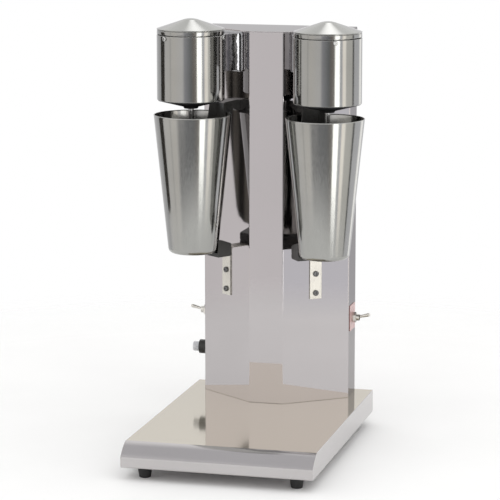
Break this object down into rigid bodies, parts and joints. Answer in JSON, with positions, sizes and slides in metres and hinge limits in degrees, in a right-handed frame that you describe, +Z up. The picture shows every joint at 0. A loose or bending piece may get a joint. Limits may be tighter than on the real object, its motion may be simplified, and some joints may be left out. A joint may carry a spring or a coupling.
{
  "type": "milkshake mixer",
  "caption": "Counter-top drink mixer with a sheet-steel base and column, upright motor heads, spindles with agitators and tapered steel cups.",
  "frame": {"origin": "on the surface under the feet, below the middle of the base", "axes": "+X to the right, +Y to the back, +Z up; the narrow front face of the column looks along -Y"},
  "size_m": [0.2494, 0.324, 0.5],
  "materials": {
    "sheet_steel": "stainless sheet, polished to a soft mirror",
    "head_steel": "spun stainless, vertical brushing, semi-gloss",
    "cup_steel": "spun stainless, satin polish",
    "neck_chrome": "bright chrome plate",
    "dark_casting": "dark enamelled casting, satin",
    "black_moulding": "black moulded plastic",
    "foot_rubber": "black rubber",
    "screw_steel": "bright zinc-plated steel",
    "shaft_steel": "ground stainless",
    "lamination_steel": "stacked laminations",
    "copper_winding": "enamelled copper wire",
    "commutator_copper": "turned copper",
    "carbon": "pressed carbon",
    "brass_holder": "folded brass",
    "agitator_steel": "polished stainless",
    "fan_plastic": "natural nylon",
    "cast_bracket": "die-cast aluminium",
    "legend_plate": "red enamelled plate, no lettering",
    "switch_metal": "nickel plate",
    "cap_plastic": "smoky grey moulding",
    "fuse_glass": "clear glass with metal ends",
    "block_plastic": "white moulded block"
  },
  "bodies": {
    "root": {"back_cover_screws": "screw_steel", "base_bottom_plate": "sheet_steel", "base_pan": "sheet_steel", "bracket_screws": "screw_steel", "brush_holders": "brass_holder", "cable_gland": "black_moulding", "carbon_brushes": "carbon", "column_back_cover": "sheet_steel", "column_bolts": "screw_steel", "column_flange": "sheet_steel", "column_shell": "sheet_steel", "column_top_cap": "sheet_steel", "foot_screws": "screw_steel", "fuse_holder": "black_moulding", "left_bearing_bracket": "cast_bracket", "left_cup_bracket": "sheet_steel", "left_cup_rest": "black_moulding", "left_field_coils": "copper_winding", "left_motor_end_plate": "dark_casting", "left_motor_housing": "head_steel", "left_motor_lid": "head_steel", "left_neck": "neck_chrome", "left_rim_clip": "black_moulding", "left_stator_core": "lamination_steel", "left_switch_body": "switch_metal", "left_switch_plate": "legend_plate", "lid_screws": "screw_steel", "motor_bearings": "shaft_steel", "neck_bolts": "screw_steel", "right_bearing_bracket": "cast_bracket", "right_cup_bracket": "sheet_steel", "right_cup_rest": "black_moulding", "right_field_coils": "copper_winding", "right_motor_end_plate": "dark_casting", "right_motor_housing": "head_steel", "right_motor_lid": "head_steel", "right_neck": "neck_chrome", "right_rim_clip": "black_moulding", "right_stator_core": "lamination_steel", "right_switch_body": "switch_metal", "right_switch_plate": "legend_plate", "rubber_feet": "foot_rubber", "switch_nuts": "switch_metal", "terminal_block": "block_plastic"},
    "left_spindle": {"left_spindle_shaft": "shaft_steel", "left_armature_core": "copper_winding", "left_commutator": "commutator_copper", "left_cooling_fan": "fan_plastic", "left_agitator": "agitator_steel"},
    "left_cup": {"left_mixing_cup": "cup_steel"},
    "left_toggle": {"left_switch_lever": "switch_metal"},
    "right_spindle": {"right_spindle_shaft": "shaft_steel", "right_armature_core": "copper_winding", "right_commutator": "commutator_copper", "right_cooling_fan": "fan_plastic", "right_agitator": "agitator_steel"},
    "right_cup": {"right_mixing_cup": "cup_steel"},
    "right_toggle": {"right_switch_lever": "switch_metal"},
    "fuse_carrier": {"fuse_cap": "cap_plastic", "glass_fuse": "fuse_glass"}
  },
  "joints": [
    {"name": "left_spindle_spin", "type": "hinge", "parent": "root", "child": "left_spindle", "pos_m": [-0.0811, 0.02973, 0.44], "axis": [0, 0, 1], "continuous": true},
    {"name": "left_cup_tilt", "type": "hinge", "parent": "root", "child": "left_cup", "pos_m": [-0.05154, 0.06519, 0.3885], "axis": [-0.8017, 0.5978, 0], "range_deg": [0, 5]},
    {"name": "left_toggle_throw", "type": "hinge", "parent": "root", "child": "left_toggle", "pos_m": [-0.0948, 0.134, 0.136], "axis": [0, -1, 0], "range_deg": [0, 28]},
    {"name": "right_spindle_spin", "type": "hinge", "parent": "root", "child": "right_spindle", "pos_m": [0.0811, 0.02973, 0.44], "axis": [0, 0, 1], "continuous": true},
    {"name": "right_cup_tilt", "type": "hinge", "parent": "root", "child": "right_cup", "pos_m": [0.05154, 0.06519, 0.3885], "axis": [-0.8017, -0.5978, 0], "range_deg": [0, 5]},
    {"name": "right_toggle_throw", "type": "hinge", "parent": "root", "child": "right_toggle", "pos_m": [0.0948, 0.134, 0.136], "axis": [0, 1, 0], "range_deg": [0, 28]},
    {"name": "fuse_draw", "type": "slide", "parent": "root", "child": "fuse_carrier", "axis": [-1, 0, 0], "range_m": [0, 0.03]}
  ]
}
